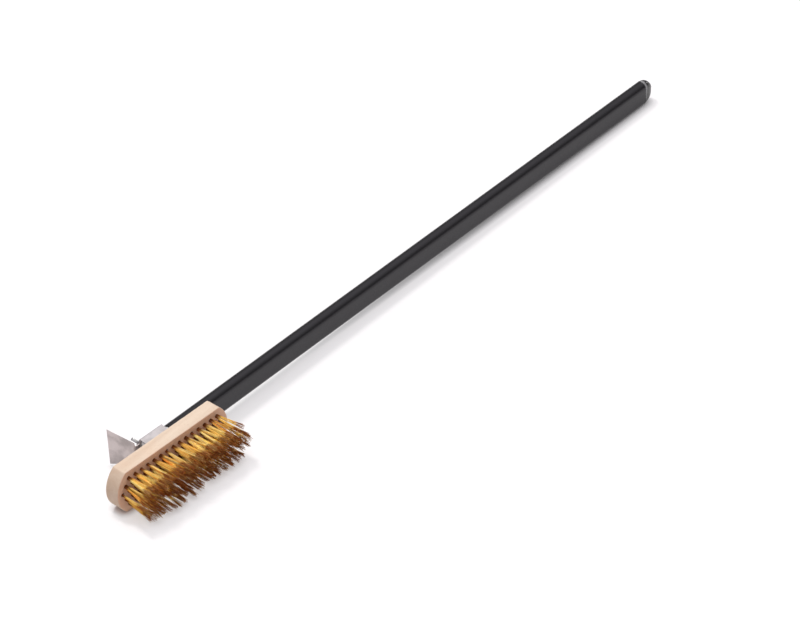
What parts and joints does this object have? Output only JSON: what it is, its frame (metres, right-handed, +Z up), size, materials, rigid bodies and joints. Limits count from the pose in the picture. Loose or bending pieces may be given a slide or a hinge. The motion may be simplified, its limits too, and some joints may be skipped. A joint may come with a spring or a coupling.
{
  "type": "grill cleaning brush",
  "caption": "Long-handled grill brush: wooden head with rows of brass tufts, a bent sheet-metal scraper, a swivel bolt with wing nut, and a flat-oval tube handle with a domed end cap",
  "frame": {"origin": "middle of the long side of the wood head that the brush lies on", "axes": "+X runs along the handle to its end cap, the bristles point to -Y, +Z is up from the side it lies on"},
  "size_m": [0.9951, 0.1119, 0.055],
  "materials": {
    "beech": "matte",
    "brass_wire": "satin",
    "stainless": "satin",
    "zinc_steel": "satin",
    "black_steel": "satin",
    "nylon": "matte",
    "cast_aluminium": "satin",
    "anodised_tube": "satin",
    "black_plastic": "gloss"
  },
  "bodies": {
    "handle": {"handle_tube": "anodised_tube", "handle_insert": "cast_aluminium", "insert_rivet_1": "cast_aluminium", "insert_rivet_2": "cast_aluminium", "end_cap": "black_plastic", "handle_saddle": "stainless", "friction_washer": "nylon"},
    "scraper": {"scraper": "stainless"},
    "brush_head": {"brush_block": "beech", "bristle_row_1": "brass_wire", "bristle_row_2": "brass_wire", "bristle_row_3": "brass_wire", "bristle_row_4": "brass_wire", "bristle_row_5": "brass_wire", "head_plate": "stainless", "plate_screw_1": "zinc_steel", "plate_screw_2": "zinc_steel", "plate_screw_3": "zinc_steel", "plate_screw_4": "zinc_steel", "swivel_bolt": "black_steel"},
    "clamp_washer": {"flat_washer": "zinc_steel"},
    "wing_nut": {"wing_nut": "zinc_steel"}
  },
  "joints": [
    {"name": "head_swivel", "type": "hinge", "parent": "handle", "child": "brush_head", "pos_m": [-0.005, 0.00925, 0.0275], "axis": [0, 1, 0], "range_deg": [-90, 90]},
    {"name": "scraper_turn", "type": "hinge", "parent": "handle", "child": "scraper", "pos_m": [-0.005, 0.02955, 0.0275], "axis": [0, 1, 0], "range_deg": [-27, 33]},
    {"name": "nut_lift", "type": "slide", "parent": "handle", "child": "clamp_washer", "axis": [0, 1, 0], "range_m": [0, 0.0016]},
    {"name": "nut_turn", "type": "hinge", "parent": "clamp_washer", "child": "wing_nut", "pos_m": [-0.005, 0.032, 0.0275], "axis": [0, 1, 0], "range_deg": [0, 720]}
  ],
  "couplings": [
    {"joint": "nut_turn", "follows": "nut_lift", "rad_per_m": 7854}
  ]
}
